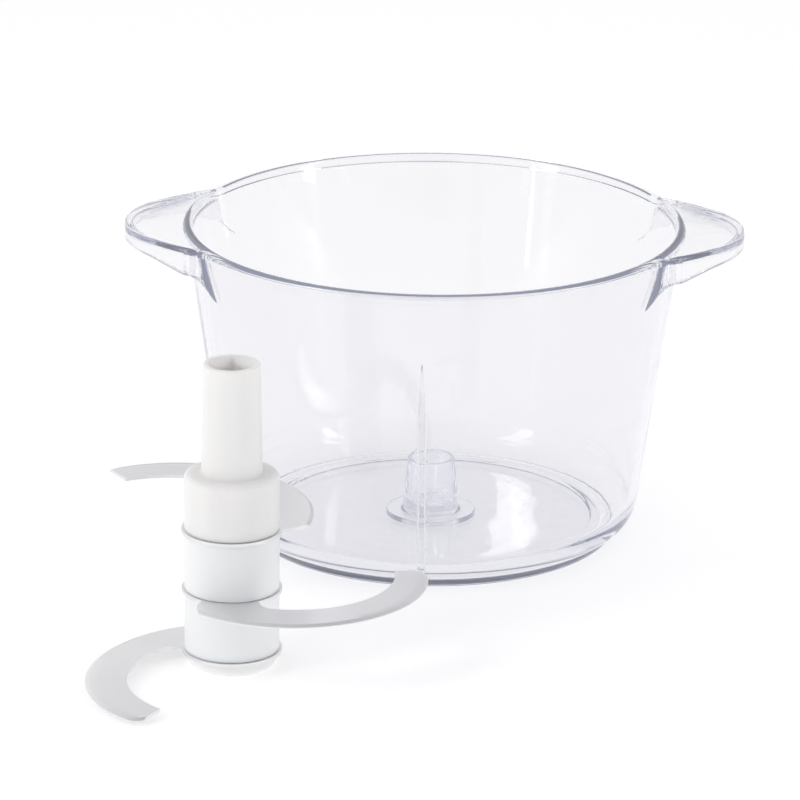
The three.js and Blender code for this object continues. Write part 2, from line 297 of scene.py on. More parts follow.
# ---- Bowl ----


def wall_radius(z):
    """Outer radius of the drafted wall: it grows in proportion to the height."""
    return WALL_TOP_R - DRAFT * (BAND_LOW - z)


def handle_reach(degrees):
    """Radius of a handle's edge by angle from its axis: a round tip, a straight flank and a hollow neck."""
    tip_x, slant = EAR_TIP_X - EAR_TIP_R, math.radians(EAR_TIP_ARC)
    tip = np.linspace(0, slant, 60)
    x, y = tip_x + EAR_TIP_R * np.cos(tip), EAR_TIP_R * np.sin(tip)
    out = np.array([math.cos(slant), math.sin(slant)])
    hub = np.array([x[-1], y[-1]]) + EAR_FLANK * np.array([-out[1], out[0]]) + EAR_NECK_R * out
    neck = np.radians(180 + EAR_TIP_ARC - np.linspace(0, EAR_NECK_ARC, 20))
    x = np.concatenate([x, hub[0] + EAR_NECK_R * np.cos(neck)])
    y = np.concatenate([y, hub[1] + EAR_NECK_R * np.sin(neck)])
    return np.interp(degrees, np.degrees(np.arctan2(y, x)), np.hypot(x, y), right=0)


def bowl_angles():
    """Columns round the bowl in degrees: close together at the handles and the rib, wider elsewhere."""
    handle = np.arange(-HANDLE_SPAN, HANDLE_SPAN, HANDLE_STEP)
    back = np.arange(HANDLE_SPAN, 180 - HANDLE_SPAN, COLUMN_STEP)
    left = np.arange(180 + HANDLE_SPAN, RIB_FROM, COLUMN_STEP)
    right = np.arange(RIB_TO, 360 - HANDLE_SPAN, COLUMN_STEP)
    beside = np.array(RIB_COLUMNS)
    rib = RIB_ANGLE + np.concatenate([-beside[::-1], [0], beside]) * RIB_HALF
    return np.concatenate([handle, back, handle + 180, left, rib + 360, right])


def inside_rows(degrees):
    """From the middle of the floor over its step, round the corner and up the inner wall, with the rib on it.

    The rib stands proud by the root of 1 less the power 1.5 of the share of its taper that is climbed. Its
    columns are squeezed together there too, so that it narrows to a point.
    """
    inner_r = CORNER_R + 1
    hub_z = FLOOR_Z + FLOOR_STEP + inner_r
    hub_r = wall_radius(hub_z) - WALL - inner_r / math.cos(SLOPE)
    rows = [(r, FLOOR_Z, degrees) for r in (0, 0.6, 20, 40, 51, FLOOR_STEP_R - 0.6)]
    rows += [(FLOOR_STEP_R + r, FLOOR_Z + z, degrees) for r, z in STEP_SECTION]
    corner = np.linspace(0, math.pi / 2 - SLOPE, 14)
    section = [(hub_r + inner_r * math.sin(a), hub_z - inner_r * math.cos(a)) for a in corner]
    tip_start = RIB_TOP - RIB_TAPER
    plain = np.linspace(section[-1][1] + 1, tip_start, 8)
    tapering = np.linspace(tip_start + 1, RIB_TOP + 0.5, 20)
    section += [(wall_radius(z) - WALL, z) for z in (*plain, *tapering, 88, 95, BAND_LOW)]
    offset = ((degrees - RIB_ANGLE + 180) % 360 - 180) / RIB_HALF
    across = eased((1.28 - np.abs(offset)) / 0.4)
    near = eased((3 - np.abs(offset)) / 1.6)
    for r, z in section:
        rise = min(max((z - tip_start) / RIB_TAPER, 0.0), 1.0)
        foot = eased((z - FLOOR_Z - FLOOR_STEP) / 2)
        proud = RIB_PROUD * math.sqrt(1 - rise**1.5) * foot * across
        rows.append((r - proud, z, degrees - 0.85 * rise * near * offset * RIB_HALF))
    return rows


def rim_rows():
    """The rim: a small round at the mouth, a flat top, and an outer round down to the handles' plate."""
    rows = []
    for a in np.linspace(0, math.pi / 2, 5):
        rows.append((MOUTH_R + MOUTH_ROUND * (1 - math.cos(a)), RIM_Z - MOUTH_ROUND * (1 - math.sin(a))))
    for a in np.linspace(math.pi / 2, math.asin((EAR_TOP - RIM_Z + RIM_ROUND) / RIM_ROUND), 5):
        rows.append((RIM_R - RIM_ROUND * (1 - math.cos(a)), RIM_Z - RIM_ROUND * (1 - math.sin(a))))
    return rows


def handle_faces(away):
    """Radius of the plate's edge, radius of the skirt's face, and height of its lower edge, by angle."""
    handle = handle_reach(away)
    plate = np.maximum(handle, RIM_R)
    # Near its end the skirt bends in to meet the wall.
    bent = np.minimum(np.interp(away, SKIRT_END_ANGLE, SKIRT_END_R, right=0), plate)
    skirt = np.where(away > SKIRT_END_ANGLE[0], bent, handle)
    return plate, skirt, np.interp(away, SKIRT_ANGLE, SKIRT_LOW)


def plate_rows(lip, plate):
    """The handles' plate from the rim's lip outwards, and the round at its edge."""
    round_out = np.minimum(1.0, plate - lip)
    # Away from the handles the rim's outer round just goes on down.
    upright = 0.3 * (1 - eased((plate - RIM_R) / 2))
    rows = [(lip + (plate - round_out - lip) * t, EAR_TOP - upright * t) for t in (0.03, 0.3, 0.6, 0.9)]
    for a in np.linspace(0, math.pi / 2, 6):
        z = EAR_TOP - upright - (EAR_ROUND - upright) * (1 - math.cos(a))
        rows.append((plate - round_out * (1 - math.sin(a)), z))
    return rows


def skirt_rows(plate, skirt, low):
    """The rim band's lower edge, then the wall or the skirt, whichever stands further out."""

    def outer(z):
        """Radius of the outer face at a height."""
        return np.maximum(wall_radius(z), skirt)

    rows = [
        (plate, BAND_LOW + 0.35),
        (plate - np.minimum(0.12, plate - outer(BAND_LOW)), BAND_LOW + 0.1),
        (np.maximum(plate - 0.4, outer(BAND_LOW)), BAND_LOW),
        (outer(BAND_LOW - 0.1), BAND_LOW - 0.1),
    ]
    edge = low + SKIRT_ROUND
    for t in (0.15, 0.3, 0.45, 0.6, 0.72, 0.82, 0.9, 0.96, 1.0):
        z = BAND_LOW - 0.1 + (edge - BAND_LOW + 0.1) * t
        rows.append((outer(z), z))
    return rows


def pocket_rows(degrees, away, skirt, low):
    """The skirt's lower edge and the pocket behind it: up the inner face, in under the plate, to the wall.

    Where the skirt has sunk into the wall these rows lie close together on the wall.
    """
    ended = eased((EAR_END - away) / 1.0)
    closing = 1 - ended
    opened = eased((POCKET_END - away) / 1.8)
    face = np.maximum(wall_radius(low + SKIRT_ROUND), skirt)
    rows = []
    for inset, z in ((0.13, low + 0.13), (0.45, low - 0.02)):
        rows.append((wall_radius(z) + np.maximum(face - inset - wall_radius(z), 0) * ended, z))

    lean = np.degrees(np.arctan2(np.gradient(skirt, np.radians(degrees)), skirt))
    thick = EAR_SKIRT / np.cos(np.radians(np.clip(np.abs(lean), 0, 45)))
    inner_face = np.minimum(np.maximum(skirt - thick, wall_radius(low) + 0.25), face - 0.6)
    flat = low - 0.02
    ceiling = low + (EAR_TOP - EAR_PLATE - low) * opened
    section = (
        (inner_face + 0.4, flat),
        (inner_face + 0.05, flat + 0.25 * opened),
        (inner_face, flat + (ceiling - flat) * 0.6),
        (inner_face, ceiling - 0.8 * opened),
        (inner_face - 0.35 * opened, ceiling - 0.1 * opened),
        (inner_face - 1.0 * opened, ceiling),
    )
    for k, (r, z) in enumerate(section):
        wall_z = low - 0.04 * (k + 2)
        wall_r = wall_radius(wall_z)
        rows.append((np.maximum(r * ended + wall_r * closing, wall_r), z * ended + wall_z * closing))

    # The round between the pocket's ceiling and the wall.
    hollow = opened > 0
    last_z = low - 0.3
    root_z = ceiling - 0.9 * opened
    root_r = np.where(hollow, wall_radius(ceiling) + 1.0 * opened, 0)
    rows.append((np.maximum(root_r, wall_radius(last_z)), np.where(hollow, ceiling, last_z)))
    root_r = np.where(hollow, wall_radius(root_z), wall_radius(last_z - 0.1))
    rows.append((root_r, np.where(hollow, root_z - 0.1, last_z - 0.1)))
    return rows


def outside_rows(start):
    """Down the outer wall from the heights given, round the corner, over the foot ring, back to the axis."""
    rows = []
    for t in np.linspace(0.1, 1, 10):
        z = start - (start - WALL_LOW_Z) * t
        rows.append((wall_radius(z), z))
    rows += [(wall_radius(z), z) for z in (70, 60, 50, 40, 30, 22, 16)]
    hub_z = CORNER_Z + CORNER_R
    hub_r = wall_radius(hub_z) - CORNER_R / math.cos(SLOPE)
    for a in np.linspace(math.pi / 2 - SLOPE, math.acos((hub_z - CORNER_Z - 0.5) / CORNER_R), 12):
        rows.append((hub_r + CORNER_R * math.sin(a), hub_z - CORNER_R * math.cos(a)))
    rows += [(FOOT_R + r, z) for r, z in FOOT_SECTION]
    rows += [(FOOT_IN_R + r, FLOOR_UNDER_Z * share) for r, share in FOOT_IN_SECTION]
    rows += [(r, FLOOR_UNDER_Z) for r in (40, 20, 0.6, 0)]
    return rows


def bowl_shell():
    """The bowl as one surface: from the middle of its floor, over the rim, to the axis underneath."""
    degrees = bowl_angles()
    away = np.abs((degrees + 90) % 180 - 90)  # degrees from the nearer handle's axis
    plate, skirt, low = handle_faces(away)
    rows = rim_rows()
    rows += plate_rows(rows[-1][0], plate)
    rows += skirt_rows(plate, skirt, low)
    rows += pocket_rows(degrees, away, skirt, low)
    rows += outside_rows(rows[-1][1])
    rows = inside_rows(degrees) + [(*row, degrees) for row in rows]
    radius, height, turn = stacked(rows, len(degrees))
    return swept("bowl_moulding", radius, height, np.radians(turn + BOWL_TURN), BOWL)


def centre_post():
    """A hollow tapered tube on a flange, with a rounded bottom to its bore."""
    base = FLOOR_Z + VISIBLE_GAP
    flange = FLOOR_Z + GAP + POST_FLANGE
    corners = [
        (0, base),
        (POST_FLANGE_R, base, 0.15),
        (POST_FLANGE_R, flange, 0.35),
        (POST_BASE_R + 0.1, flange, 0.9),
        (POST_TOP_R, POST_TOP_Z, 0.35),
        (POST_BORE_R, POST_TOP_Z, 0.3),
        (POST_BORE_R - 0.3, POST_BORE_Z, 1.4),
        (0, POST_BORE_Z),
    ]
    return turned("centre_post_tube", corners, BOWL, 96)


# ---- Blade unit ----


def keyed_radius(angle, radius, flat):
    """Radius of a circle with evenly spaced flats, by angle: the circle's, or a flat's where it is less."""
    pitch = FULL_TURN / KEY_FLATS
    off = (angle + pitch / 2) % pitch - pitch / 2
    return np.minimum(radius, flat / np.cos(off))


def drive_shaft():
    """The shaft as one surface: the bore, then the outside of the core, collar and tube, then the socket.

    The socket's section is a square with rounded corners: the radius where |x|^n + |y|^n is constant, with a
    large n.
    """
    top_z, turn = BLADES["upper_blade"][:2]
    columns = 240
    angle = np.arange(columns) * FULL_TURN / columns
    key = keyed_radius(angle - math.radians(turn), CORE_R, KEY_FLAT)
    collar = top_z + BLADE_THICK + VISIBLE_GAP
    core_low = FOOT_CAP_TOP + GAP
    bore = [
        (0, UPPER_BORE_TOP),
        (UPPER_BORE_R, UPPER_BORE_TOP, 0.6),
        (UPPER_BORE_R, CORE_BORE_TOP + 3, 0.5),
        (CORE_BORE_R, CORE_BORE_TOP, 0.5),
        (CORE_BORE_R, core_low),
    ]
    outside = [
        (SHAFT_R - 1, collar),
        (SHAFT_R, collar, 0.22),
        (SHAFT_R, COLLAR_TOP, COLLAR_ROUND),
        (TUBE_BASE_R, COLLAR_TOP, 0.7),
        (TUBE_TOP_R, TUBE_TOP, 0.55),
        (SOCKET_CORNER + 0.45, TUBE_TOP),
    ]
    rows = list(rounded(bore))
    rows += [(key - 0.2, core_low), (key, core_low + 0.2), (key, collar)]
    rows += list(rounded(outside))
    own = angle - math.pi / 4
    norm = (np.abs(np.cos(own)) ** SOCKET_POWER + np.abs(np.sin(own)) ** SOCKET_POWER) ** (1 / SOCKET_POWER)
    square = SOCKET_SIDE / 2 / norm
    for depth, share, extra in SOCKET_MOUTH:
        rows.append((SOCKET_CORNER + extra + (square - SOCKET_CORNER) * share, TUBE_TOP - depth))
    rows += [(square, SOCKET_FLOOR + rise) for rise in (1, 0.3)]
    rows += [(square - 0.4, SOCKET_FLOOR), (0, SOCKET_FLOOR)]
    radius, height = stacked(rows, columns)
    return swept("drive_shaft_moulding", radius, height, angle, SHAFT)


def spacer(name, below, above):
    """A ring round the core that fills the height between two blades."""
    bottom = BLADES[below][0] + BLADE_THICK + VISIBLE_GAP
    top = BLADES[above][0] - VISIBLE_GAP
    bore = CORE_R + GAP
    corners = [(bore, bottom, 0.2), (SHAFT_R, bottom, 0.22), (SHAFT_R, top, 0.3), (bore, top, 0.2)]
    return turned(name, corners, SHAFT, closed=True)


def bearing_foot():
    """A ring that the stack stands on, with a chamfer below and a sleeve that reaches up into the core."""
    sleeve = CORE_BORE_R - GAP
    corners = [
        (SLEEVE_BORE_R, 0, 0.5),
        (FOOT_CAP_R - FOOT_CHAMFER, 0, 0.5),
        (FOOT_CAP_R, FOOT_CHAMFER, 0.5),
        (FOOT_CAP_R, FOOT_CAP_TOP, 0.3),
        (sleeve, FOOT_CAP_TOP, 0.2),
        (sleeve, SLEEVE_TOP, 0.3),
        (SLEEVE_BORE_R, SLEEVE_TOP, 0.3),
    ]
    return turned("bearing_foot_ring", corners, SHAFT, closed=True)


def polar(x, y, radius, degrees):
    """Points at a radius and angles round (x, y)."""
    angle = np.radians(degrees)
    return np.stack([x + radius * np.cos(angle), y + radius * np.sin(angle)], -1)


def blade_plan(tip_at, tip_cut):
    """The blade from above, as two grids that share the ring's edge: the ring, and the arm from tail to tip.

    The arm's columns run from its inner edge (the ring, the notch, the concave arc) to the convex arc. The
    result is the points, the quads, and each point's distance from the sharpened edge.
    """
    ring_angle = np.arange(0, 360, RING_STEP)
    hole = keyed_radius(np.radians(ring_angle), CORE_R + 0.05, KEY_FLAT + 0.05)
    share = np.array([0, 0.12, 0.5, 1.0])[:, None]
    reach = hole + (RING_R - hole) * share
    ring = polar(0, 0, reach, ring_angle)
    shared = np.arange(TAIL_AT, NOTCH_AT + RING_STEP / 2, RING_STEP)
    start, end = polar(0, 0, RING_R, NOTCH_AT), polar(HOLLOW_X, HOLLOW_Y, HOLLOW_R, HOLLOW_FROM)
    t = np.linspace(0, 1, 8)[1:, None]
    notch = start * (1 - t) ** 2 + 2 * np.array(NOTCH_BEND) * t * (1 - t) + end * t**2
    hollow = polar(HOLLOW_X, HOLLOW_Y, HOLLOW_R, np.linspace(HOLLOW_FROM, tip_at - TIP_CHAMFER, 72)[1:])
    inner = np.concatenate([polar(0, 0, RING_R, shared), notch, hollow])
    counts = len(shared), len(notch), len(hollow)
    tail, bend, clear_of_notch = BACK_ANGLES
    back = np.concatenate(
        [
            np.linspace(tail, bend, counts[0]),
            np.linspace(bend, clear_of_notch, counts[1] + 1)[1:],
            np.linspace(clear_of_notch, tip_at, counts[2] + 1)[1:],
        ]
    )
    tip = np.clip((back - tip_at) / (TIP_CHAMFER + 1) + 1, 0, 1)
    outer = polar(BACK_X, 0, BACK_R - tip_cut * tip**2, back)
    width = np.hypot(*(outer - inner).T)
    from_edge = np.array([1.0, 0.75, 0.5, 0.25])[:, None] * (width - GRIND - 0.1) + GRIND + 0.1
    from_edge[0] = width
    ground = np.broadcast_to(np.array([GRIND, GRIND * 0.5, 0.06, 0.0])[:, None], (4, len(width)))
    from_edge = np.concatenate([from_edge, ground])
    share = 1 - from_edge / width
    arm = inner + (outer - inner) * share[:, :, None]
    # The tail's end stands out a little from the straight line between the ring and the convex arc.
    fade = np.exp(-np.arange(len(width)) / 1.5) * 1.1
    arm += np.array([-0.9, 0.45]) * (np.sin(np.pi * np.clip(share, 0, 1)) * fade)[:, :, None]
    rows, columns = ring.shape[:2]
    i, j = np.arange(rows - 1)[:, None], np.arange(columns)[None]
    beside = (j + 1) % columns
    here, there = i * columns, (i + 1) * columns
    quads = [np.stack([here + j, here + beside, there + beside, there + j], 2)]
    first = rows * columns
    index = np.arange(arm.shape[0] * arm.shape[1]).reshape(arm.shape[:2]) + first - arm.shape[1]
    index[0] = -1
    index[0, : counts[0]] = (rows - 1) * columns + (shared / RING_STEP).astype(int)
    free = index[0] < 0
    extra = first + (arm.shape[0] - 1) * arm.shape[1]
    index[0, free] = extra + np.arange(free.sum())
    quads.append(np.stack([index[:-1, :-1], index[:-1, 1:], index[1:, 1:], index[1:, :-1]], 2))
    points = np.concatenate([ring.reshape(-1, 2), arm[1:].reshape(-1, 2), arm[0, free]])
    edge = np.concatenate([np.full(first, UNGROUND), from_edge[1:].reshape(-1), from_edge[0, free]])
    return points, np.concatenate([q.reshape(-1, 4) for q in quads]), edge


def blade(name, node):
    """A flat sickle with thickness: the plan at two heights, joined round its borders.

    The top falls to the edge's thickness over the ground width, and the whole arm rises or falls in
    proportion to its distance outside the ring.
    """
    base, turn, slope, tip_at, tip_cut = BLADES[node]
    plan, quads, edge = blade_plan(tip_at, tip_cut)
    reach = np.hypot(*plan.T)
    bend = slope * np.maximum(0, reach - BEND_R)
    fall = (BLADE_THICK - EDGE) * np.clip(1 - edge / GRIND, 0, 1)
    spin = math.radians(turn)
    x = SHAFT[0] + plan[:, 0] * math.cos(spin) - plan[:, 1] * math.sin(spin)
    y = SHAFT[1] + plan[:, 0] * math.sin(spin) + plan[:, 1] * math.cos(spin)
    low = np.stack([x, y, base + bend], 1)
    high = np.stack([x, y, base + bend + BLADE_THICK - fall], 1)
    count = len(plan)
    pairs = np.concatenate([quads[:, [k, (k + 1) % 4]] for k in range(4)])
    key = np.sort(pairs, 1)
    _, first, seen = np.unique(key, axis=0, return_index=True, return_counts=True)
    border = pairs[first[seen == 1]]
    sides = np.stack([border[:, 1], border[:, 0], border[:, 0] + count, border[:, 1] + count], 1)
    made = new_object(name, np.concatenate([low, high]), [quads[:, ::-1], quads + count, sides])
    soften = made.modifiers.new("edges", "BEVEL")
    soften.width = EDGE_ROUND * MM
    soften.segments = 2
    soften.limit_method = "ANGLE"
    soften.angle_limit = math.radians(EDGE_ANGLE)
    soften.harden_normals = True
    return made


# ---- Materials ----


def node(tree, kind, inputs=None, **settings):
    """Adds a shader node, sets its properties and the values or links of its inputs."""
    made = tree.nodes.new(kind)
    for key, value in settings.items():
        setattr(made, key, value)
    for key, value in (inputs or {}).items():
        if isinstance(value, bpy.types.NodeSocket):
            tree.links.new(value, made.inputs[key])
        else:
            made.inputs[key].default_value = value
    return made


def new_group(name, inputs, outputs):
    """An empty node group with named inputs (name: default) and outputs (name: socket type)."""
    tree = bpy.data.node_groups.new(name, "ShaderNodeTree")
    for key, default in inputs.items():
        kind = "NodeSocketVector" if default is None else "NodeSocketFloat"
        socket = tree.interface.new_socket(key, in_out="INPUT", socket_type=kind)
        if default is not None:
            socket.default_value = default
    for key, kind in outputs.items():
        tree.interface.new_socket(key, in_out="OUTPUT", socket_type=kind)
    return tree, tree.nodes.new("NodeGroupInput"), tree.nodes.new("NodeGroupOutput")


def maths(tree, operation, *values):
    """The result of a sum on values or links."""
    return node(tree, "ShaderNodeMath", dict(enumerate(values)), operation=operation).outputs[0]


def ranged(tree, value, start=0.0, end=1.0, low=0.0, high=1.0, **settings):
    """The value, with the range from start to end carried over to the range from low to high."""
    inputs = {0: value, 1: start, 2: end, 3: low, 4: high}
    return node(tree, "ShaderNodeMapRange", inputs, **settings).outputs[0]


def noise(tree, place, scale, detail, **more):
    """The strength of a cloudy noise at a place."""
    inputs = {"Vector": place, "Scale": scale, "Detail": detail, **more}
    return node(tree, "ShaderNodeTexNoise", inputs).outputs[0]


def mapped(tree, place, **inputs):
    """A place turned and stretched."""
    return node(tree, "ShaderNodeMapping", {"Vector": place, **inputs}).outputs[0]


def scratches_group():
    """Fine straight handling marks several ways: thin bands of a stretched noise, broken up by another."""
    inputs, outputs = {"Vector": None, "Scale": 60.0}, {"Mask": "NodeSocketFloat"}
    tree, given, result = new_group("handling_marks", inputs, outputs)
    place, scale = given.outputs["Vector"], given.outputs["Scale"]
    total = None
    for turn, stretch in ((0.4, 0.03), (1.9, 0.05), (2.7, 0.025)):
        turned_to = mapped(tree, place, Rotation=(0.3 * turn, 0.2, turn))
        long_way = mapped(tree, turned_to, Scale=(stretch, 1, 0.6))
        thin = ranged(tree, noise(tree, long_way, scale, 2.0), 0.66, 0.72)
        total = thin if total is None else maths(tree, "MAXIMUM", total, thin)
    patches = ranged(tree, noise(tree, place, 35.0, 3.0), 0.45, 0.62)
    tree.links.new(maths(tree, "MULTIPLY", total, patches), result.inputs["Mask"])
    return tree


def smudges_group():
    """Soft cloudy patches, as left by hands and a cloth: two noises of different size multiplied together."""
    tree, given, result = new_group("smudges", {"Vector": None, "Scale": 18.0}, {"Mask": "NodeSocketFloat"})
    place = given.outputs["Vector"]
    large = ranged(tree, noise(tree, place, given.outputs["Scale"], 4.0, Distortion=0.6), 0.42, 0.68)
    small = noise(tree, place, 190.0, 3.0)
    tree.links.new(maths(tree, "MULTIPLY", large, small), result.inputs["Mask"])
    return tree


def grain_group():
    """The fine texture of a spark-eroded mould: a small even noise."""
    inputs, outputs = {"Vector": None, "Scale": 1800.0}, {"Height": "NodeSocketFloat"}
    tree, given, result = new_group("mould_grain", inputs, outputs)
    small = noise(tree, given.outputs["Vector"], given.outputs["Scale"], 3.0, Roughness=0.6)
    tree.links.new(small, result.inputs["Height"])
    return tree


def new_material(name):
    """A new material, with its tree, its shader and the place on the object."""
    made = bpy.data.materials.new(name)
    made.use_nodes = True
    tree = made.node_tree
    shader = next(n for n in tree.nodes if n.type == "BSDF_PRINCIPLED")
    return made, tree, shader, node(tree, "ShaderNodeTexCoord").outputs["Object"]


def use_group(tree, group, place, scale):
    """The result of a node group at a place and a scale."""
    made = tree.nodes.new("ShaderNodeGroup")
    made.node_tree = group
    tree.links.new(place, made.inputs["Vector"])
    made.inputs["Scale"].default_value = scale
    return made.outputs[0]


def bump(tree, height, distance, strength, below=None):
    """A bumped normal, on top of the one below it if that is given."""
    made = node(tree, "ShaderNodeBump", {"Height": height, "Distance": distance, "Strength": strength})
    if below is not None:
        tree.links.new(below, made.inputs["Normal"])
    return made.outputs["Normal"]


def clear_plastic(name, tint, marks, smudges):
    """Polished clear moulding: faint lengthwise flow waves, hairline marks, cloudy handling patches and a
    faint painted blue glow.
    """
    made, tree, shader, place = new_material(name)
    cloud = use_group(tree, smudges, place, 16.0)
    lines = use_group(tree, marks, place, 420.0)
    hazy = ranged(tree, cloud, low=0.004, high=0.03)
    flow = noise(tree, mapped(tree, place, Scale=(1, 1, 0.08)), 45.0, 2.0)
    waves = bump(tree, flow, 0.00022, 0.5)
    shader.inputs["Base Color"].default_value = tint
    shader.inputs["Transmission Weight"].default_value = 1
    shader.inputs["IOR"].default_value = 1.53
    # A faint painted blue glow that stands in for the light carried along inside the walls, and lightens the
    # lines at their edges; it adds up where a path stays in them.
    shader.inputs["Emission Color"].default_value = (0.68, 0.71, 0.88, 1)
    shader.inputs["Emission Strength"].default_value = 0.034
    made.cycles.emission_sampling = "NONE"
    tree.links.new(maths(tree, "MULTIPLY_ADD", lines, 0.05, hazy), shader.inputs["Roughness"])
    tree.links.new(bump(tree, lines, 0.00001, 0.6, waves), shader.inputs["Normal"])
    # Light that only passes through on its way to something dull goes straight, a little weakened.
    path = node(tree, "ShaderNodeLightPath")
    passing = node(tree, "ShaderNodeBsdfTransparent", {"Color": (0.98, 0.98, 0.985, 1)}).outputs[0]
    surface = shader.outputs[0]
    for ray in ("Is Diffuse Ray", "Is Shadow Ray"):
        surface = node(tree, "ShaderNodeMixShader", {0: path.outputs[ray], 1: surface, 2: passing}).outputs[0]
    output = next(n for n in tree.nodes if n.type == "OUTPUT_MATERIAL")
    tree.links.new(surface, output.inputs["Surface"])
    thick = node(tree, "ShaderNodeVolumeAbsorption", {"Color": (0.4, 0.41, 0.48, 1), "Density": 24.0})
    tree.links.new(thick.outputs["Volume"], output.inputs["Volume"])
    return made


def moulded_plastic(name, colour, shade, rough, glow, groups):
    """Satin moulding: fine grain, faint flow streaks in the colour, smoother patches where it is handled."""
    made, tree, shader, place = new_material(name)
    marks, smudges, grain = groups
    texture = use_group(tree, grain, place, 2200.0)
    cloud = use_group(tree, smudges, place, 30.0)
    lines = use_group(tree, marks, place, 380.0)
    streaks = noise(tree, mapped(tree, place, Scale=(1, 1, 0.12)), 130.0, 3.0)
    tint = ranged(tree, streaks, 0.35, 0.75)
    mixed = node(tree, "ShaderNodeMix", {0: tint, 6: colour, 7: shade}, data_type="RGBA")
    patch = ranged(tree, cloud, low=rough, high=rough - 0.12)
    tree.links.new(mixed.outputs[2], shader.inputs["Base Color"])
    tree.links.new(maths(tree, "MULTIPLY_ADD", lines, 0.12, patch), shader.inputs["Roughness"])
    fine = bump(tree, texture, 0.00003, 0.5)
    tree.links.new(bump(tree, lines, 0.00001, 0.5, fine), shader.inputs["Normal"])
    shader.inputs["IOR"].default_value = 1.49
    shader.inputs["Subsurface Weight"].default_value = glow
    shader.inputs["Subsurface Radius"].default_value = (1.0, 0.85, 0.75)
    shader.inputs["Subsurface Scale"].default_value = 0.003
    return made


def blade_steel(marks, smudges):
    """Satin stainless: fine rolled lines one way, crossed by handling marks, with cloudy changes in gloss."""
    made, tree, shader, place = new_material("blade_steel")
    rolled = mapped(tree, place, Rotation=(0, 0, 0.25), Scale=(0.02, 1, 0.3))
    fine = noise(tree, rolled, 5200.0, 4.0, Roughness=0.65)
    lines = use_group(tree, marks, place, 520.0)
    cloud = use_group(tree, smudges, place, 40.0)
    rough = ranged(tree, fine, 0.3, 0.7, 0.27, 0.4)
    colours = {6: (0.78, 0.78, 0.79, 1), 7: (0.86, 0.86, 0.868, 1)}
    tint = node(tree, "ShaderNodeMix", {0: fine, **colours}, data_type="RGBA")
    shader.inputs["Metallic"].default_value = 1
    tree.links.new(tint.outputs[2], shader.inputs["Base Color"])
    tree.links.new(maths(tree, "MULTIPLY_ADD", cloud, 0.1, rough), shader.inputs["Roughness"])
    grain = bump(tree, fine, 0.000012, 0.6)
    tree.links.new(bump(tree, lines, 0.00001, 0.5, grain), shader.inputs["Normal"])
    return made


# ---- Setting: floor, light and camera, in metres ----
FLOOR_HALF = 6.0

# Brightness of the surroundings: axis, where along it the change starts and ends, and the levels there.
ROOM_LEVELS = (("X", -0.8, 0.9, 1.03, 0.78), ("Y", -0.95, 0.0, 0.9, 1.0), ("Z", 0.35, 1.0, 1.0, 0.64))
# A darker area in front, round this direction: the clear edges reflect it, which is what draws their lines.
DARK_TOWARDS = (0.0, -0.946, 0.323)
DARK_EDGE = (0.92, 0.98)  # cosines of the angle from it where the area starts and is full
DARK_LEVEL = 0.25

# Lamps: place, width, height, and power in watts.
LAMPS = {
    "left_box": ((-1.0, -0.56, 0.62), 0.22, 1.1, 2.3),
    "right_box": ((1.15, -0.5, 0.5), 0.16, 0.95, 2.1),
    "left_low_box": ((-0.6, -0.44, 0.11), 0.022, 0.16, 0.035),
    "back_strip": ((0.072, 1.2, 0.45), 0.03, 0.32, 0.032),
}

CAMERA_PITCH, CAMERA_ROLL = math.radians(18.8), math.radians(0.62)
CAMERA_FROM_BOWL = (-0.01055, -1.5303)  # beside and in front of the bowl's axis
CAMERA_Z = 0.5641
CAMERA_LENS, CAMERA_SENSOR = 220.5, 36


def floor():
    """A large pale sheet that the object stands on."""
    half = FLOOR_HALF
    mesh = bpy.data.meshes.new("floor")
    corners = [(-half, -half, 0), (half, -half, 0), (half, half, 0), (-half, half, 0)]
    mesh.from_pydata(corners, [], [(0, 1, 2, 3)])
    made = bpy.data.objects.new("floor", mesh)
    bpy.context.scene.collection.objects.link(made)
    paint = bpy.data.materials.new("floor_paint")
    paint.use_nodes = True
    shader = next(n for n in paint.node_tree.nodes if n.type == "BSDF_PRINCIPLED")
    shader.inputs["Base Color"].default_value = (0.95, 0.95, 0.95, 1)
    shader.inputs["Roughness"].default_value = 0.75
    shader.inputs["Specular IOR Level"].default_value = 0.1
    shader.inputs["Emission Color"].default_value = (1, 1, 1, 1)
    shader.inputs["Emission Strength"].default_value = 0.28
    mesh.materials.append(paint)


def soft_box(name, position, target, width, height, power):
    """A rectangular lamp that faces the target, with its height upright. It isn't seen itself."""
    data = bpy.data.lights.new(name, "AREA")
    data.shape, data.size, data.size_y, data.energy = "RECTANGLE", width, height, power
    lamp = bpy.data.objects.new(name, data)
    lamp.visible_camera = False
    lamp.location = position
    lamp.rotation_euler = (Vector(target) - Vector(position)).to_track_quat("-Z", "Y").to_euler()
    bpy.context.scene.collection.objects.link(lamp)


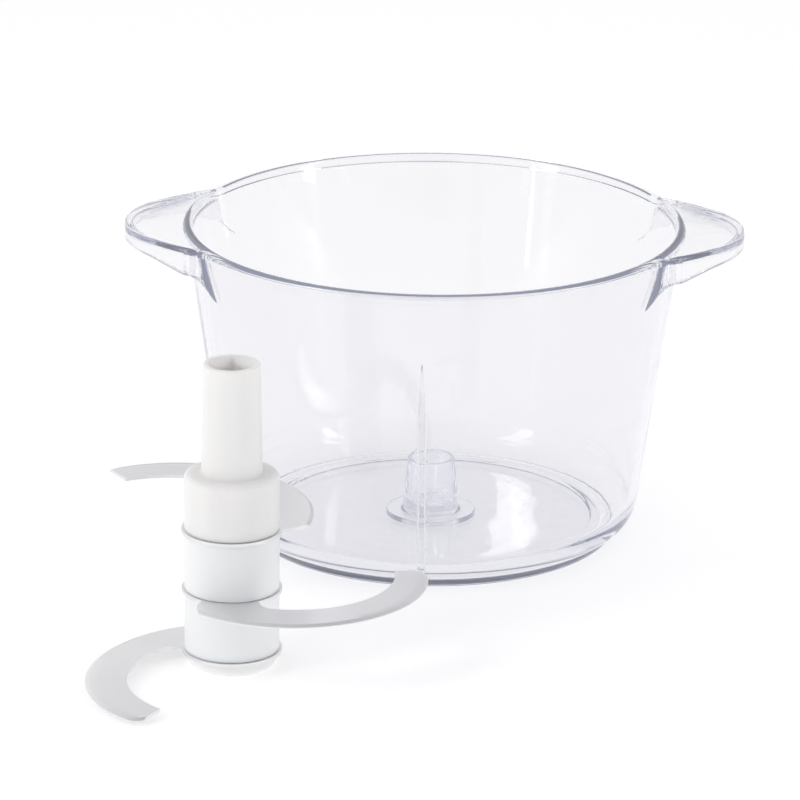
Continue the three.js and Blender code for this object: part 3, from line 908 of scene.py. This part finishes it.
def white_room():
    """A white tent: the product of a smooth change along each axis and the dark area, with a little blue."""
    world = bpy.data.worlds.new("white_room")
    bpy.context.scene.world = world
    world.use_nodes = True
    tree = world.node_tree
    out = next(n for n in tree.nodes if n.type == "BACKGROUND")
    place = node(tree, "ShaderNodeTexCoord").outputs["Generated"]
    direction = node(tree, "ShaderNodeSeparateXYZ", {"Vector": place})
    smooth = {"interpolation_type": "SMOOTHSTEP"}
    tone = None
    for axis, start, end, low, high in ROOM_LEVELS:
        part = ranged(tree, direction.outputs[axis], start, end, low, high, **smooth)
        tone = part if tone is None else maths(tree, "MULTIPLY", tone, part)
    facing = node(tree, "ShaderNodeVectorMath", {0: place, 1: DARK_TOWARDS}, operation="DOT_PRODUCT")
    dark = ranged(tree, facing.outputs["Value"], *DARK_EDGE, 1.0, DARK_LEVEL, **smooth)
    tone = maths(tree, "MULTIPLY", tone, dark)
    colours = {6: (0.0, 0.0, 0.04, 1), 7: (1.0, 1.0, 1.0, 1)}
    cool = node(tree, "ShaderNodeMix", {0: tone, **colours}, data_type="RGBA", clamp_factor=False)
    tree.links.new(cool.outputs[2], out.inputs["Color"])
    out.inputs["Strength"].default_value = 1.0


def camera():
    """A long lens looking down on the object from the front, level to within a degree."""
    forward = Vector((0, math.cos(CAMERA_PITCH), -math.sin(CAMERA_PITCH)))
    right = Vector((1, 0, 0))
    up = right.cross(forward)
    across = right * math.cos(CAMERA_ROLL) + up * math.sin(CAMERA_ROLL)
    data = bpy.data.cameras.new("camera")
    data.lens, data.sensor_width = CAMERA_LENS, CAMERA_SENSOR
    data.clip_start, data.clip_end = 0.05, 50
    made = bpy.data.objects.new("camera", data)
    turn = Matrix((across, across.cross(forward), -forward)).transposed().to_4x4()
    beside, before = BOWL * MM + CAMERA_FROM_BOWL
    made.matrix_world = Matrix.Translation(Vector((beside, before, CAMERA_Z))) @ turn
    bpy.context.scene.collection.objects.link(made)
    bpy.context.scene.camera = made


# ---- Assembly ----


def finish_piece(piece, material, body, slot, *nodes):
    """Gives a piece its material and body, and hides the CAD nodes that it stands for; the slot is not used.
    """
    piece.data.materials.clear()
    piece.data.materials.append(material)
    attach(piece, body)
    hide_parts(*nodes)


camera()
floor()
white_room()
middle = (SHAFT[0] * MM * 0.3, 0.0, 0.05)  # of the whole setting
for name, (place, width, height, power) in LAMPS.items():
    soft_box(name, place, middle, width, height, power)
scene = bpy.context.scene
scene.view_settings.view_transform = "Standard"
# Light is carried a long way inside the clear walls, so paths get many bounces.
scene.cycles.max_bounces = 24
scene.cycles.glossy_bounces = 16
scene.cycles.transmission_bounces = 20
scene.cycles.transparent_max_bounces = 20

groups = scratches_group(), smudges_group(), grain_group()
marks, smudges = groups[:2]
clear = clear_plastic("clear_plastic", (0.919, 0.914, 0.913, 1), marks, smudges)
# The post is the same clear plastic with a lighter tint, painted lighter so that the many walls in front of
# it and behind it don't darken it.
lightened_clear = clear_plastic("clear_plastic_lightened", (0.975, 0.974, 0.972, 1), marks, smudges)
white = moulded_plastic("white_plastic", (0.85, 0.843, 0.832, 1), (0.885, 0.876, 0.864, 1), 0.46, 0.6, groups)
# The spacer rings are the same white plastic, painted lighter to make up for the shade that the blades above
# them and the floor cast on them.
lightened_ring_colours = (0.94, 0.939, 0.932, 1), (0.965, 0.963, 0.957, 1)
lightened_ring_white = moulded_plastic("white_plastic_lightened", *lightened_ring_colours, 0.46, 0.5, groups)
cream = moulded_plastic("cream_plastic", (0.93, 0.92, 0.9, 1), (0.95, 0.945, 0.93, 1), 0.4, 0.6, groups)
steel = blade_steel(marks, smudges)

finish_piece(bowl_shell(), clear, "bowl", "clear_plastic", "bowl_shell")
finish_piece(centre_post(), lightened_clear, "bowl", "clear_plastic", "centre_post")
finish_piece(bearing_foot(), cream, "bearing", "cream_plastic", "bearing_foot")
finish_piece(drive_shaft(), white, "rotor", "white_plastic", "drive_shaft")
blades_in_order = list(BLADES)
for name, below, above in zip(("lower_spacer", "upper_spacer"), blades_in_order, blades_in_order[1:]):
    finish_piece(spacer(name + "_ring", below, above), lightened_ring_white, "rotor", "white_plastic", name)
for name in BLADES:
    finish_piece(blade(name + "_sickle", name), steel, "rotor", "blade_steel", name)
